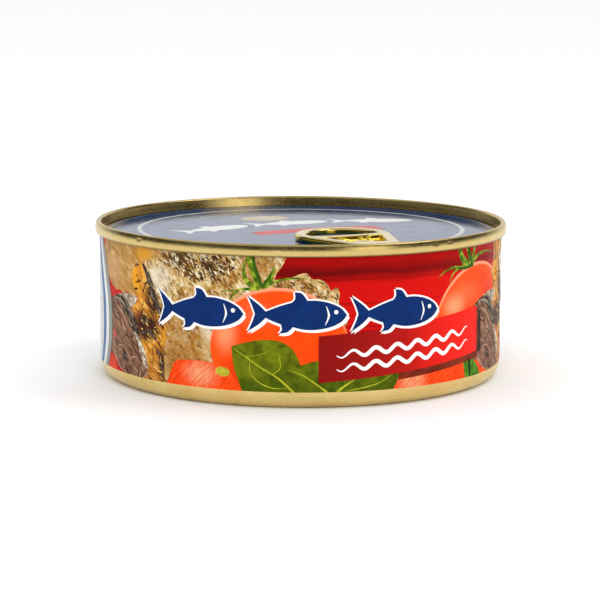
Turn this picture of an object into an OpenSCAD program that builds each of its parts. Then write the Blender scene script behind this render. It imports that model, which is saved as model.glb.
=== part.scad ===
// Round two-piece fish tin, full and shut: a drawn body that is solid up to the
// underside of its lid, an easy-open lid with its double seam, and a curled pull
// tab held by a rivet that is formed from the lid.
// Millimetres, +Z up, origin on the axis at the level the tin stands on.
// -Y is the front of the tin, where the printed picture faces.

/* [Body] */
// Outside diameter of the wall
body_d = 99.8; // [80:0.2:140]
// Height from the table to the crest of the seam
can_h = 38.4; // [25:0.2:90]
// Radius of the corner between the wall and the base
corner_r = 3.5; // [2:0.25:5]
// Width of the flat ring that the tin stands on
foot_w = 2.8; // [1.6:0.1:4]
// Height of the base panel above the foot ring
base_rise = 0.9; // [0.6:0.1:1.4]
// Width of the slope from the foot ring up to the base panel
base_slope_w = 1.1; // [0.6:0.1:2]
// Distance from the foot ring in to the middle of the bead pressed in the base
base_bead_in = 10.6; // [5:0.2:20]
// Radius of the bead's round section
base_bead_r = 1.2; // [0.9:0.1:1.6]
// How far the bead stands down from the base panel
base_bead_drop = 0.5; // [0.2:0.05:0.55]

/* [Seam] */
// How far the double seam stands out from the wall
seam_overhang = 1.25; // [0.8:0.05:1.8]
// Height of the double seam
seam_h = 2.9; // [2.6:0.1:3.2]
// Thickness of the double seam at its rounded crest
seam_t = 1.3; // [1.1:0.05:1.5]
// Radius at the lower outer edge of the seam
heel_r = 0.4; // [0.2:0.05:0.6]

/* [Lid] */
// Thickness of the lid's plate
plate_t = 0.25; // [0.2:0.01:0.3]
// Depth of the panel below the crest of the seam
panel_depth = 2.45; // [2.3:0.05:2.6]
// Depth of the groove round the panel below the crest
groove_depth = 3.3; // [3.2:0.05:3.6]
// Width of the bottom of the groove
groove_w = 0.9; // [0.7:0.05:1.4]
// Width of the slope from the groove up to the panel
groove_slope_w = 0.35; // [0.3:0.05:0.6]
// How far the chuck wall leans out between the groove and the crest
chuck_lean = 0.65; // [0.3:0.05:0.9]
// Distance from the panel's edge in to the score line that the lid tears along
score_inset = 0.65; // [0.4:0.05:1.2]
// Width of the score line
score_w = 0.3; // [0.2:0.02:0.4]
// Depth of the score line
score_cut = 0.12; // [0.06:0.01:0.14]

/* [Rivet] */
// Radius of the rivet's stem
stem_r = 1.7; // [1.3:0.05:1.9]
// Radius of the rivet's head
head_r = 2.7; // [2.4:0.05:2.9]
// Height of the rivet's head
head_h = 0.55; // [0.5:0.05:0.8]
// Radius of the rounded edge of the head
head_edge_r = 0.2; // [0.1:0.02:0.2]
// Radius of the dimple in the head
dimple_r = 1.1; // [0.8:0.05:1.3]
// Depth of the dimple in the head
dimple_cut = 0.15; // [0.1:0.01:0.25]
// Running gap between the stem and the hole in the tab
stem_gap = 0.05; // [0.03:0.01:0.1]

/* [Pull tab] */
// Direction of the tab's nose, turned from the front towards +X, in degrees
tab_turn = 25; // [-90:1:90]
// Length of the tab from its ring end to its nose
tab_len = 33.9; // [30:0.1:38]
// Width of the tab at the finger ring
ring_w = 23.4; // [21:0.1:25]
// Width of the tab at the nose
nose_w = 13; // [12:0.1:14]
// Width of the curled band that runs round the tab
band_w = 2.7; // [2.2:0.05:3]
// Height of the curled band
band_h = 1.4; // [1.2:0.05:1.5]
// Gap between the curled band and the panel
tab_lift = 0.25; // [0.15:0.05:0.35]
// Gap between the tip of the nose and the score line
nose_gap = 0.9; // [0.5:0.05:1.5]
// Length of the finger hole along the tab
hole_len = 10.3; // [8.5:0.1:11]
// Width of the bridge between the finger hole and the tongue's window
bridge_w = 2.2; // [1.6:0.1:2.6]
// Thickness of the bridge and of the plate in the nose
bridge_t = 0.9; // [0.7:0.05:1]
// How far the bridge and the nose plate lie below the top of the band
bridge_drop = 0.2; // [0.1:0.05:0.25]
// Distance from the tip of the nose to the rivet
rivet_back = 10.9; // [10:0.1:12]
// Width of the tongue that the rivet holds
tongue_w = 6.6; // [6:0.1:7]
// Thickness of the tongue
tongue_t = 0.4; // [0.36:0.01:0.45]
// How far the tongue runs in under the nose plate
tongue_lap = 1.6; // [1:0.1:2.5]

/* [Hidden] */
$fn = 128;
over = 1;                                    // how far a cutting shape runs past what it cuts
band_steps = 6;                              // facets on each rounded edge of the tab's band
ring_steps = 36;                             // facets round the finger ring
nose_steps = 14;                             // facets round the nose

gold_lacquer = "#b99b4f";
panel_blue = "#2b3d55";
tab_gold = "#d9bd6a";

// Radii and heights of the body
body_r = body_d / 2;
foot_out_r = body_r - corner_r;
foot_in_r = foot_out_r - foot_w;
base_panel_r = foot_in_r - base_slope_w;
bead_mid_r = foot_in_r - base_bead_in;
seat_z = can_h - seam_h;

// Radii and heights of the lid
seam_out_r = body_r + seam_overhang;
crest_z = can_h - seam_t / 2;
chuck_top_r = seam_out_r - seam_t;
chuck_foot_r = chuck_top_r - chuck_lean;
groove_in_r = chuck_foot_r - groove_w;
panel_r = groove_in_r - groove_slope_w;
panel_z = can_h - panel_depth;
groove_z = can_h - groove_depth;
score_r = panel_r - score_inset;

// Sizes of the tab, along X from its ring end at x = 0 to its nose
ring_r = ring_w / 2;
nose_r = nose_w / 2;
nose_x = tab_len - nose_r;
rivet_x = tab_len - rivet_back;
reach = nose_x - ring_r;                     // from the ring's centre to the nose's centre
flank_turn = acos((ring_r - nose_r) / reach);
hole_end_x = band_w + hole_len;
bridge_z = tab_lift + band_h - bridge_drop - bridge_t;
tab_start_r = score_r - nose_gap - tab_len;  // where the ring end lies, from the tin's axis

// Radius of the chuck wall's inner face at height z
function chuck_r(z) = chuck_foot_r + chuck_lean * (z - groove_z) / (crest_z - groove_z);

// Outline of the lid's upper face, from the axis out to the crest
function lid_top() = [
    [0, panel_z],
    [score_r - score_w / 2, panel_z],
    [score_r, panel_z - score_cut],
    [score_r + score_w / 2, panel_z],
    [panel_r, panel_z],
    [groove_in_r, groove_z],
    [chuck_foot_r, groove_z],
    [chuck_top_r, crest_z]
];

// Outline of the lid's underside, from the axis out to the wall: the body ends here
function lid_under() = [
    [0, panel_z - plate_t],
    [panel_r - plate_t / 2, panel_z - plate_t],
    [groove_in_r - plate_t / 2, groove_z - plate_t],
    [chuck_r(groove_z) + plate_t, groove_z - plate_t],
    [chuck_r(seat_z) + plate_t, seat_z]
];

function reversed(list) = [for (i = [len(list) - 1 : -1 : 0]) list[i]];

// Puts a child that is drawn in the tab's own frame on the lid's panel
module on_panel() {
    rotate([0, 0, tab_turn - 90])
        translate([tab_start_r, 0, panel_z])
            children();
}

// ---- Body: drawn wall and base ----

module body_section() {
    polygon(concat(
        [
            [0, base_rise],
            [base_panel_r, base_rise],
            [foot_in_r, 0],
            [foot_out_r, 0],
            [foot_out_r, corner_r],
            [body_r, corner_r],
            [body_r, seat_z]
        ],
        reversed(lid_under())
    ));
    translate([foot_out_r, corner_r])
        circle(r = corner_r);
    translate([bead_mid_r, base_rise - base_bead_drop + base_bead_r])
        circle(r = base_bead_r);
}

module can_body() {
    color(gold_lacquer)
        rotate_extrude()
            body_section();
}

// ---- Lid: panel, groove, chuck wall, double seam and rivet ----

module seam_section() {
    translate([seam_out_r - seam_t / 2, crest_z])
        circle(d = seam_t);
    translate([seam_out_r - heel_r, seat_z + heel_r])
        circle(r = heel_r);
    polygon([
        [chuck_r(seat_z) + plate_t, seat_z],
        [seam_out_r - heel_r, seat_z],
        [seam_out_r - heel_r, seat_z + heel_r],
        [seam_out_r, seat_z + heel_r],
        [seam_out_r, crest_z],
        [chuck_top_r, crest_z],
        [chuck_r(seat_z), seat_z]
    ]);
}

module rivet_head_section() {
    translate([0, tongue_t])
        square([head_r, head_h - head_edge_r]);
    translate([0, tongue_t])
        square([head_r - head_edge_r, head_h]);
    translate([head_r - head_edge_r, tongue_t + head_h - head_edge_r])
        circle(r = head_edge_r);
}

module rivet() {
    difference() {
        union() {
            rotate_extrude()
                rivet_head_section();
            translate([0, 0, -plate_t / 2])
                cylinder(r = stem_r, h = plate_t / 2 + tongue_t + head_h / 2);
        }
        translate([0, 0, tongue_t + head_h - dimple_cut])
            cylinder(r = dimple_r, h = over);
    }
}

module lid() {
    color(panel_blue) {
        rotate_extrude() {
            polygon(concat(lid_top(), [[chuck_top_r + plate_t, crest_z]], reversed(lid_under())));
            seam_section();
        }
        on_panel()
            translate([rivet_x, 0, 0])
                rivet();
    }
}

// ---- Pull tab ----

// Points of the curled band's section, from its inner edge at x = 0 to its outer edge
function band_section() = [
    for (side = [0, 1], i = [0 : band_steps])
        let (turn = side * 180 - 90 + 180 * i / band_steps)
        let (mid_x = side == 0 ? band_w - band_h / 2 : band_h / 2)
        [mid_x + band_h / 2 * cos(turn), tab_lift + band_h / 2 * (1 + sin(turn))]
];

// Where the band's section stands as it runs round the tab: [centre, outer radius, turn]
function band_stations() = concat(
    [for (i = [0 : ring_steps]) [ring_r, ring_r, flank_turn + (360 - 2 * flank_turn) * i / ring_steps]],
    [for (i = [0 : nose_steps]) [nose_x, nose_r, -flank_turn + 2 * flank_turn * i / nose_steps]]
);

// The curled band: round the finger ring, down both flanks and round the nose
module band() {
    section = band_section();
    stations = band_stations();
    m = len(section);
    n = len(stations);
    polyhedron(
        points = [
            for (s = stations, p = section)
                let (r = s[1] - band_w + p[0])
                [s[0] + r * cos(s[2]), r * sin(s[2]), p[1]]
        ],
        faces = [
            for (i = [0 : n - 1], j = [0 : m - 1])
                let (next_i = (i + 1) % n, next_j = (j + 1) % m)
                [i * m + j, i * m + next_j, next_i * m + next_j, next_i * m + j]
        ]
    );
}

module nose_plate() {
    translate([nose_x, 0, bridge_z])
        difference() {
            cylinder(r = nose_r - band_h / 2, h = bridge_t);
            translate([-nose_r, -nose_r, -over])
                cube([nose_r, 2 * nose_r, bridge_t + 2 * over]);
        }
}

module bridge() {
    half_w = ring_r - band_w / 2;
    translate([hole_end_x, -half_w, bridge_z])
        cube([bridge_w, 2 * half_w, bridge_t]);
}

// The tongue lies on the panel under the rivet's head and joins the nose plate
module tongue() {
    difference() {
        union() {
            translate([rivet_x, 0, 0])
                cylinder(d = tongue_w, h = tongue_t);
            translate([rivet_x, -tongue_w / 2, 0])
                cube([nose_x + tongue_lap - rivet_x, tongue_w, tongue_t]);
            translate([nose_x, -tongue_w / 2, 0])
                cube([tongue_lap, tongue_w, bridge_z + bridge_t / 2]);
        }
        translate([rivet_x, 0, -over])
            cylinder(r = stem_r + stem_gap, h = tongue_t + 2 * over);
    }
}

module pull_tab() {
    color(tab_gold)
        on_panel() {
            band();
            nose_plate();
            bridge();
            tongue();
        }
}

can_body();
lid();
pull_tab();
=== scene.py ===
import math
import random

import bmesh
import bpy
from bpy.props import FloatProperty, FloatVectorProperty, IntProperty, PointerProperty
from mathutils import Matrix, Vector


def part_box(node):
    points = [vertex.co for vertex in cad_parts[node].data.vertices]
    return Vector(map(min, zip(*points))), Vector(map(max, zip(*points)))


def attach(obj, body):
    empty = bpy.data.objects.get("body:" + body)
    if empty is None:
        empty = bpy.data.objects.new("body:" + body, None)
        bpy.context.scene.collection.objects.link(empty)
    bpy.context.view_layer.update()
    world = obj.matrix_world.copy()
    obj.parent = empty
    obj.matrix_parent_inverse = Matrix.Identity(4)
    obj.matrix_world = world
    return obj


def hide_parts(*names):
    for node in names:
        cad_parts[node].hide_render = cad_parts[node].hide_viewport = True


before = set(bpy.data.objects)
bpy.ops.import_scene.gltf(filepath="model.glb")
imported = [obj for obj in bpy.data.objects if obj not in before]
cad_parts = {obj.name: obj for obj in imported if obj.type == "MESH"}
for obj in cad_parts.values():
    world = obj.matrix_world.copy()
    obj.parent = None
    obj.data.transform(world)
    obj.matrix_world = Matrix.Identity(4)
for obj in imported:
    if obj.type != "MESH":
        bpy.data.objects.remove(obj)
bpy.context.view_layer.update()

bl_info = {
    "name": "Round fish tin",
    "version": (1, 0, 0),
    "blender": (4, 5, 0),
    "location": "3D View > Sidebar > Fish tin",
    "description": "Builds a printed round fish tin with a ring-pull lid",
    "category": "Mesh",
}

MM = 0.001
BODY_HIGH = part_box("can_body")[1]
LID_LOW, LID_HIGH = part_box("lid")

# Sizes in millimetres, from the frame
WALL_R = BODY_HIGH.x / MM
SEAM_R = LID_HIGH.x / MM
CREST_Z = LID_HIGH.z / MM
PLATE_T = 0.25
PANEL_Z = BODY_HIGH.z / MM + PLATE_T
GROOVE_Z = LID_LOW.z / MM + PLATE_T

# The print: one picture is printed twice round the wall, and an information panel fills the rest
PICTURE_START = -70
PICTURE_LEN = 106.5
PICTURE_END = 167
WALL_ROUND = 2 * math.pi * WALL_R
PANEL_MID = 0.5 * (PICTURE_START + PICTURE_END + WALL_ROUND)
PANEL_HALF = 50.25

# An ink film reaches from INK_SINK below its surface to INK_STEP above it for each layer
INK_STEP = 0.014
INK_SINK = 0.02
STRIP = 1.6


# ---- Sizes and colours that a user would change ----

class FISHTIN_PG_sizes(bpy.types.PropertyGroup):
    """Sizes of the tin's parts"""
    print_bottom: FloatProperty(
        name="Print bottom", description="Height of the lower edge of the wall's print",
        default=4.1 * MM, min=3.5 * MM, max=8 * MM, unit="LENGTH")
    seam_height: FloatProperty(
        name="Seam height", description="Height of the double seam",
        default=2.9 * MM, min=2 * MM, max=4 * MM, unit="LENGTH")
    seam_thickness: FloatProperty(
        name="Seam thickness", description="Thickness of the double seam at its crest",
        default=1.3 * MM, min=1 * MM, max=1.6 * MM, unit="LENGTH")
    corner_radius: FloatProperty(
        name="Corner radius", description="Radius between the wall and the base",
        default=3.5 * MM, min=2 * MM, max=5 * MM, unit="LENGTH")
    tab_turn: FloatProperty(
        name="Tab turn", description="Turn of the tab's nose from the front towards +X",
        default=math.radians(25), subtype="ANGLE")
    round_steps: IntProperty(
        name="Round steps", description="Faces round the tin", default=360, min=64, max=720)


class FISHTIN_PG_colours(bpy.types.PropertyGroup):
    """Colours of the metal and of the inks"""
    gold: FloatVectorProperty(
        name="Gold lacquer", description="Lacquer on the body, seam and groove",
        default=(0.8, 0.61, 0.25), subtype="COLOR", min=0, max=1)
    tab_gold: FloatVectorProperty(
        name="Tab gold", description="Lacquer on the pull tab and its rivet",
        default=(0.92, 0.68, 0.08), subtype="COLOR", min=0, max=1)
    navy: FloatVectorProperty(
        name="Navy", description="Ink of the lid and of the fish signs",
        default=(0.003, 0.024, 0.125), subtype="COLOR", min=0, max=1)
    red: FloatVectorProperty(
        name="Red", description="Ink of the picture's boards and of the ribbon",
        default=(0.54, 0.003, 0.002), subtype="COLOR", min=0, max=1)
    tomato: FloatVectorProperty(
        name="Tomato", description="Ink of the ripe fruit",
        default=(0.94, 0.046, 0.002), subtype="COLOR", min=0, max=1)
    leaf: FloatVectorProperty(
        name="Leaf", description="Ink of the basil leaves",
        default=(0.085, 0.112, 0.002), subtype="COLOR", min=0, max=1)


# ---- Shaping helpers ----

def arc(centre, radius, start, end, steps, radius_y=None):
    """Points along an arc, angles in degrees; radius_y makes it a part of an oval"""
    turns = [math.radians(start + (end - start) * i / steps) for i in range(steps + 1)]
    high = radius if radius_y is None else radius_y
    return [(centre[0] + radius * math.cos(t), centre[1] + high * math.sin(t)) for t in turns]


def oval(centre, half_w, half_h, steps=72, turn=0):
    """Closed oval outline, turned by degrees"""
    c, s = math.cos(math.radians(turn)), math.sin(math.radians(turn))
    points = []
    for i in range(steps):
        t = 2 * math.pi * i / steps
        x, y = half_w * math.cos(t), half_h * math.sin(t)
        points.append((centre[0] + x * c - y * s, centre[1] + x * s + y * c))
    return points


def curve(points, steps=8):
    """Smooth open curve through the points"""
    ends = [points[0]] + list(points) + [points[-1]]
    out = []
    for i in range(len(points) - 1):
        a, b, c, d = (Vector(p) for p in ends[i:i + 4])
        for k in range(steps):
            t = k / steps
            p = 0.5 * (2 * b + (c - a) * t + (2 * a - 5 * b + 4 * c - d) * t * t
                       + (3 * b - a - 3 * c + d) * t ** 3)
            out.append((p.x, p.y))
    out.append(tuple(points[-1]))
    return out


def joined(*runs):
    """Closed outline of smooth runs, with straight lines between runs that don't meet"""
    points = []
    for run in runs:
        for p in curve(run):
            if not points or (Vector(p) - Vector(points[-1])).length > 1e-4:
                points.append(p)
    if (Vector(points[0]) - Vector(points[-1])).length < 1e-4:
        points.pop()
    return points


def outline(*runs):
    """Closed outline of smooth runs that meet at corners. Each run starts where the one before it
    ended, and the last one goes back to the start, so that no corner is written twice"""
    chain = [list(runs[0])]
    for run in runs[1:]:
        chain.append([chain[-1][-1], *run])
    chain[-1].append(runs[0][0])
    return joined(*chain)


def stroke(points, widths, steps=8):
    """Closed outline of a brush stroke along a curve, with widths from its start to its end"""
    line = [Vector(p) for p in curve(points, steps)]
    left, right = [], []
    for i, p in enumerate(line):
        along = (line[min(i + 1, len(line) - 1)] - line[max(i - 1, 0)]).normalized()
        side = Vector((-along.y, along.x))
        t = i / (len(line) - 1) * (len(widths) - 1)
        k = min(int(t), len(widths) - 2)
        half = 0.5 * (widths[k] + (widths[k + 1] - widths[k]) * (t - k))
        left.append(tuple(p + side * max(half, 0.02)))
        right.append(tuple(p - side * max(half, 0.02)))
    return left + right[::-1]


def strokes(*rows):
    """Outlines of brush strokes: each row holds the widths and then the points of the curve"""
    return [stroke(points, widths) for widths, *points in rows]


def moved(points, dx=0, dy=0, turn=0):
    """Outline turned by degrees and moved"""
    c, s = math.cos(math.radians(turn)), math.sin(math.radians(turn))
    return [(x * c - y * s + dx, x * s + y * c + dy) for x, y in points]


def finished(bm, name, material, sharp=32):
    """Turns a bmesh in millimetres into a shaded piece that rides on the tin"""
    bmesh.ops.scale(bm, vec=(MM, MM, MM), verts=bm.verts)
    limit = math.radians(sharp)
    for face in bm.faces:
        face.smooth = True
    for edge in bm.edges:
        edge.smooth = len(edge.link_faces) == 2 and edge.calc_face_angle() < limit
    mesh = bpy.data.meshes.new(name)
    bm.to_mesh(mesh)
    bm.free()
    mesh.materials.append(material)
    piece = bpy.data.objects.new(name, mesh)
    bpy.context.scene.collection.objects.link(piece)
    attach(piece, "root")
    return piece


def spun(profile, steps, closed=True):
    """Turns a (radius, height) profile round the tin's axis"""
    bm = bmesh.new()
    ring = [bm.verts.new((r, 0, z)) for r, z in profile]
    edges = [bm.edges.new(pair) for pair in zip(ring, ring[1:])]
    if closed:
        edges.append(bm.edges.new((ring[-1], ring[0])))
    bmesh.ops.spin(bm, geom=ring + edges, cent=(0, 0, 0), axis=(0, 0, 1),
                   angle=2 * math.pi, steps=steps, use_merge=True, use_duplicate=False)
    bmesh.ops.remove_doubles(bm, verts=bm.verts, dist=1e-5)
    bmesh.ops.dissolve_degenerate(bm, edges=bm.edges, dist=1e-6)
    bmesh.ops.recalc_face_normals(bm, faces=bm.faces)
    return bm


def loop_of(bm, points):
    """Closed loop of edges through flat points"""
    verts = [bm.verts.new((x, y, 0)) for x, y in points]
    return [bm.edges.new((verts[i - 1], verts[i])) for i in range(len(verts))]


def fill(bm, edges):
    """Fills closed loops of edges with triangles"""
    bmesh.ops.triangle_fill(bm, edges=edges, use_beauty=True, use_dissolve=False)


def cut(bm, at, normal, drop=False):
    """Cuts the flat shapes along a line and, where asked, drops what lies beyond it"""
    geom = bm.verts[:] + bm.edges[:] + bm.faces[:]
    bmesh.ops.bisect_plane(bm, geom=geom, dist=1e-5, plane_co=at, plane_no=normal, clear_outer=drop)


def slab(bm, low, high):
    """Turns flat shapes face up and makes them as thick as the span between two heights"""
    for face in bm.faces:
        if face.normal.z < 0:
            face.normal_flip()
    bmesh.ops.solidify(bm, geom=bm.faces[:], thickness=1)
    middle = 0.5 * (max(v.co.z for v in bm.verts) + min(v.co.z for v in bm.verts))
    for v in bm.verts:
        v.co.z = high if v.co.z > middle else low


def flat_ink(shapes, layer, window=None):
    """Flat ink shapes with their own places as a map. A window cuts them to size and into strips,
    which bend well round the wall"""
    bm = bmesh.new()
    uv = bm.loops.layers.uv.new("print")
    for points in shapes:
        fill(bm, loop_of(bm, points))
    if window:
        (x0, y0), (x1, y1) = window
        for at, normal in (((x0, 0, 0), (-1, 0, 0)), ((x1, 0, 0), (1, 0, 0)),
                           ((0, y0, 0), (0, -1, 0)), ((0, y1, 0), (0, 1, 0))):
            cut(bm, at, normal, drop=True)
        if bm.verts:
            low = min(v.co.x for v in bm.verts)
            high = max(v.co.x for v in bm.verts)
            for i in range(math.ceil(low / STRIP), math.floor(high / STRIP) + 1):
                cut(bm, (i * STRIP, 0, 0), (1, 0, 0))
    if bm.faces:
        slab(bm, -INK_SINK, layer * INK_STEP)
    for face in bm.faces:
        for loop in face.loops:
            loop[uv].uv = (loop.vert.co.x * MM, loop.vert.co.y * MM)
    bmesh.ops.recalc_face_normals(bm, faces=bm.faces)
    return bm


def wall_ink(name, shapes, layer, material, second=None, once=False):
    """Ink on the wall: x is the way round from the front in mm, y the height. The picture is
    printed twice, and second gives other shapes for its second copy"""
    sizes = bpy.context.scene.fishtin_sizes
    low, top = sizes.print_bottom / MM, CREST_Z - sizes.seam_height / MM - INK_SINK
    whole = bmesh.new()
    for offset in (0,) if once else (0, PICTURE_LEN):
        end = WALL_ROUND if once else PICTURE_END - offset
        chosen = second if offset and second is not None else shapes
        bm = flat_ink(chosen, layer, ((PICTURE_START, low), (end, top)))
        bmesh.ops.translate(bm, vec=(offset, 0, 0), verts=bm.verts)
        part = bpy.data.meshes.new("part")
        bm.to_mesh(part)
        bm.free()
        whole.from_mesh(part)
        bpy.data.meshes.remove(part)
    for v in whole.verts:
        turn = v.co.x / WALL_R
        r = WALL_R + v.co.z
        v.co = (r * math.sin(turn), -r * math.cos(turn), v.co.y)
    return finished(whole, name, material)


def lid_ink(name, shapes, material):
    """Ink on the lid's panel"""
    bm = flat_ink(shapes, 1)
    bmesh.ops.translate(bm, vec=(0, 0, PANEL_Z), verts=bm.verts)
    return finished(bm, name, material)


# ---- Material helpers ----

class Nodes:
    """Short ways to add the nodes of a tree and to link them"""

    def __init__(self, tree):
        self.tree = tree

    def node(self, kind, inputs=None, **settings):
        made = self.tree.nodes.new(kind)
        for key, value in settings.items():
            setattr(made, key, value)
        for key, value in (inputs or {}).items():
            self.feed(made.inputs[key], value)
        return made

    def feed(self, socket, value):
        """Links a socket, or sets it to a number or a colour"""
        if isinstance(value, bpy.types.NodeSocket):
            self.tree.links.new(value, socket)
        elif isinstance(value, tuple) and len(value) == 3 and socket.type == "RGBA":
            socket.default_value = (*value, 1)
        else:
            socket.default_value = value

    def axis(self, name, place):
        """One coordinate of a place"""
        return self.node("ShaderNodeSeparateXYZ", {0: place}).outputs[name]

    def mix(self, fac, a, b, way="MIX"):
        made = self.node("ShaderNodeMix", data_type="RGBA", blend_type=way)
        for index, value in ((0, fac), (6, a), (7, b)):
            self.feed(made.inputs[index], value)
        return made.outputs[2]

    def span(self, value, low, high, to_low=0, to_high=1):
        """Maps a value from low..high to a new span, with soft ends"""
        return self.node("ShaderNodeMapRange", {"Value": value, "From Min": low, "From Max": high,
                         "To Min": to_low, "To Max": to_high}, interpolation_type="SMOOTHSTEP").outputs[0]

    def sums(self, way, a, b=0):
        """One step of arithmetic"""
        made = self.node("ShaderNodeMath", operation=way)
        self.feed(made.inputs[0], a)
        self.feed(made.inputs[1], b)
        return made.outputs[0]

    def times(self, a, b):
        """One value times another"""
        return self.sums("MULTIPLY", a, b)


class Finish(Nodes):
    """A node material, with coordinates in millimetres"""

    def __init__(self, name):
        self.mat = bpy.data.materials.new(name)
        self.mat.use_nodes = True
        super().__init__(self.mat.node_tree)
        self.bsdf = self.tree.nodes["Principled BSDF"]

    def place(self, print_map=False, turn=0, stretch=(1, 1, 1), centre=(0, 0)):
        """Coordinates in millimetres from a centre, turned by degrees and then stretched, taken
        from the piece's print map or from the object"""
        if print_map:
            source = self.node("ShaderNodeUVMap", uv_map="print").outputs[0]
        else:
            source = self.node("ShaderNodeTexCoord").outputs["Object"]
        at = (centre[0] * MM, centre[1] * MM, 0)
        scale = tuple(MM / s for s in stretch)
        return self.node("ShaderNodeMapping", {"Vector": source, "Location": at, "Scale": scale,
                         "Rotation": (0, 0, math.radians(turn))}, vector_type="TEXTURE").outputs[0]

    def noise(self, place, size, detail=4, rough=0.55, bend=0):
        """Soft noise whose patches are about size millimetres across"""
        return self.node("ShaderNodeTexNoise", {"Vector": place, "Scale": 1 / size, "Detail": detail,
                         "Roughness": rough, "Distortion": bend}).outputs["Fac"]

    def grain(self, size, turn=0, stretch=(1, 1), detail=4, rough=0.55, bend=0):
        """Noise on the print map, turned by degrees and then stretched"""
        return self.noise(self.place(True, turn, (*stretch, 1)), size, detail, rough, bend)

    def ramp(self, fac, stops):
        """Colours along a value, each stop a position and a colour"""
        made = self.node("ShaderNodeValToRGB", {"Fac": fac})
        elements = made.color_ramp.elements
        while len(elements) < len(stops):
            elements.new(0.5)
        for element, (at, colour) in zip(elements, stops):
            element.position = at
            element.color = (*colour, 1)
        return made.outputs["Color"]

    def spot(self, centre, half, soft=1, turn=0):
        """1 at a place on the print map, fading to 0 at the edge of an oval round it"""
        turned = self.place(True, turn, (1 / half[0], 1 / half[1], 1), centre)
        far = self.node("ShaderNodeVectorMath", {0: turned}, operation="LENGTH").outputs["Value"]
        return self.span(far, 1 - soft, 1, 1, 0)

    def spots(self, *rows):
        """The strongest of several spots, each given by a centre, half sizes, softness and turn"""
        highest = self.spot(*rows[0])
        for row in rows[1:]:
            highest = self.sums("MAXIMUM", highest, self.spot(*row))
        return highest

    def dabs(self, tone, *rows):
        """Lays soft oval dabs on a tone: strength, colour, centre, half sizes, softness"""
        for strength, colour, *spot in rows:
            tone = self.mix(self.times(self.spot(*spot), strength), tone, colour)
        return tone

    def bump(self, height, depth_mm):
        """Fine relief of the surface"""
        made = self.node("ShaderNodeBump", {"Height": height, "Distance": depth_mm * MM, "Strength": 1})
        self.feed(self.bsdf.inputs["Normal"], made.outputs[0])

    def set(self, **values):
        names = {"colour": "Base Color", "rough": "Roughness", "metal": "Metallic", "ior": "IOR",
                 "specular": "Specular IOR Level"}
        for key, value in values.items():
            self.feed(self.bsdf.inputs[names[key]], value)


def tinted(colour, *parts):
    """A colour with each of its three parts multiplied"""
    return tuple(c * part for c, part in zip(colour, parts))


def chosen_colour(name):
    """A colour as the user has set it"""
    return tuple(getattr(bpy.context.scene.fishtin_colours, name))


def ink(name, colour_of, rough=0.4):
    """Printed and varnished ink: colour_of(finish) gives its colour socket"""
    f = Finish(name)
    grain = f.ramp(f.grain(0.35, detail=2), [(0.35, (0, 0, 0)), (0.65, (1, 1, 1))])
    wear = f.noise(f.place(), 6, 3)
    f.set(colour=f.mix(0.07, colour_of(f), grain, "OVERLAY"), specular=0.05,
          rough=f.span(wear, 0.3, 0.7, rough - 0.05, rough + 0.06))
    f.bump(f.noise(f.place(), 0.9, 2), 0.008)
    return f.mat


def plain_ink(name, colour, spread=0.12, rough=0.4):
    """Ink of one colour, a little uneven as it lies on the plate"""
    def colour_of(f):
        dark = tuple(c * (1 - spread) for c in colour)
        light = tuple(min(1, c * (1 + spread)) for c in colour)
        return f.ramp(f.grain(3, detail=3), [(0.3, dark), (0.7, light)])
    return ink(name, colour_of, rough)


def gold_lacquer():
    """Rolled gold lacquer with small specks, a tenth darker above the seam's foot, with a painted shadow
    line along the foot of the seam
    """
    f = Finish("gold_lacquer")
    here = f.place()
    cloud = f.noise(here, 9, 4)
    rolled = f.noise(f.place(stretch=(1, 1, 9)), 1.6, 3)
    tint = chosen_colour("gold")
    base = f.ramp(cloud, [(0.3, tinted(tint, 0.86, 0.83, 0.72)), (0.68, tint)])
    base = f.mix(f.span(f.noise(here, 0.45, 1), 0.76, 0.8), base, (0.1, 0.07, 0.03))
    high = f.axis("Z", here)
    foot = CREST_Z - bpy.context.scene.fishtin_sizes.seam_height / MM
    # The metal above the seam's foot is made a tenth darker
    base = f.mix(f.span(high, foot - 0.3, foot + 0.2, 0, 0.1), base, (0, 0, 0))
    # Painted shadow: a dark line along the foot of the seam, where the seam's lower edge shades the wall
    from_seam_shadow = f.sums("ABSOLUTE", f.sums("SUBTRACT", high, foot + 0.14))
    base = f.mix(f.span(from_seam_shadow, 0.1, 0.42, 0.62, 0), base, (0.06, 0.04, 0.012))
    rough = f.sums("ADD", f.span(cloud, 0.3, 0.7, 0.2, 0.28), f.span(rolled, 0.35, 0.7, 0, 0.08))
    f.set(colour=base, metal=1, rough=rough)
    f.bump(f.sums("ADD", rolled, f.times(cloud, 2)), 0.012)


def yellow_lacquer():
    """The tab's lacquer: deep yellow, with a painted pale highlight over the top of the curl"""
    f = Finish("yellow_lacquer")
    here = f.place()
    cloud = f.noise(here, 3, 3)
    tint = chosen_colour("tab_gold")
    thick = f.ramp(cloud, [(0.3, tinted(tint, 0.9, 0.84, 0.7)), (0.7, tint)])
    # Painted highlight: the top of the curl turns pale, standing in for the sheen it catches at a grazing
    # angle
    top_highlight = f.span(f.axis("Z", here), PANEL_Z + 1.12, PANEL_Z + 1.4)
    f.set(colour=f.mix(top_highlight, thick, (0.9, 0.74, 0.36)), metal=1, rough=f.span(cloud, 0.3, 0.7, 0.08, 0.13))
    f.bump(f.noise(here, 0.8, 2), 0.01)


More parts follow.
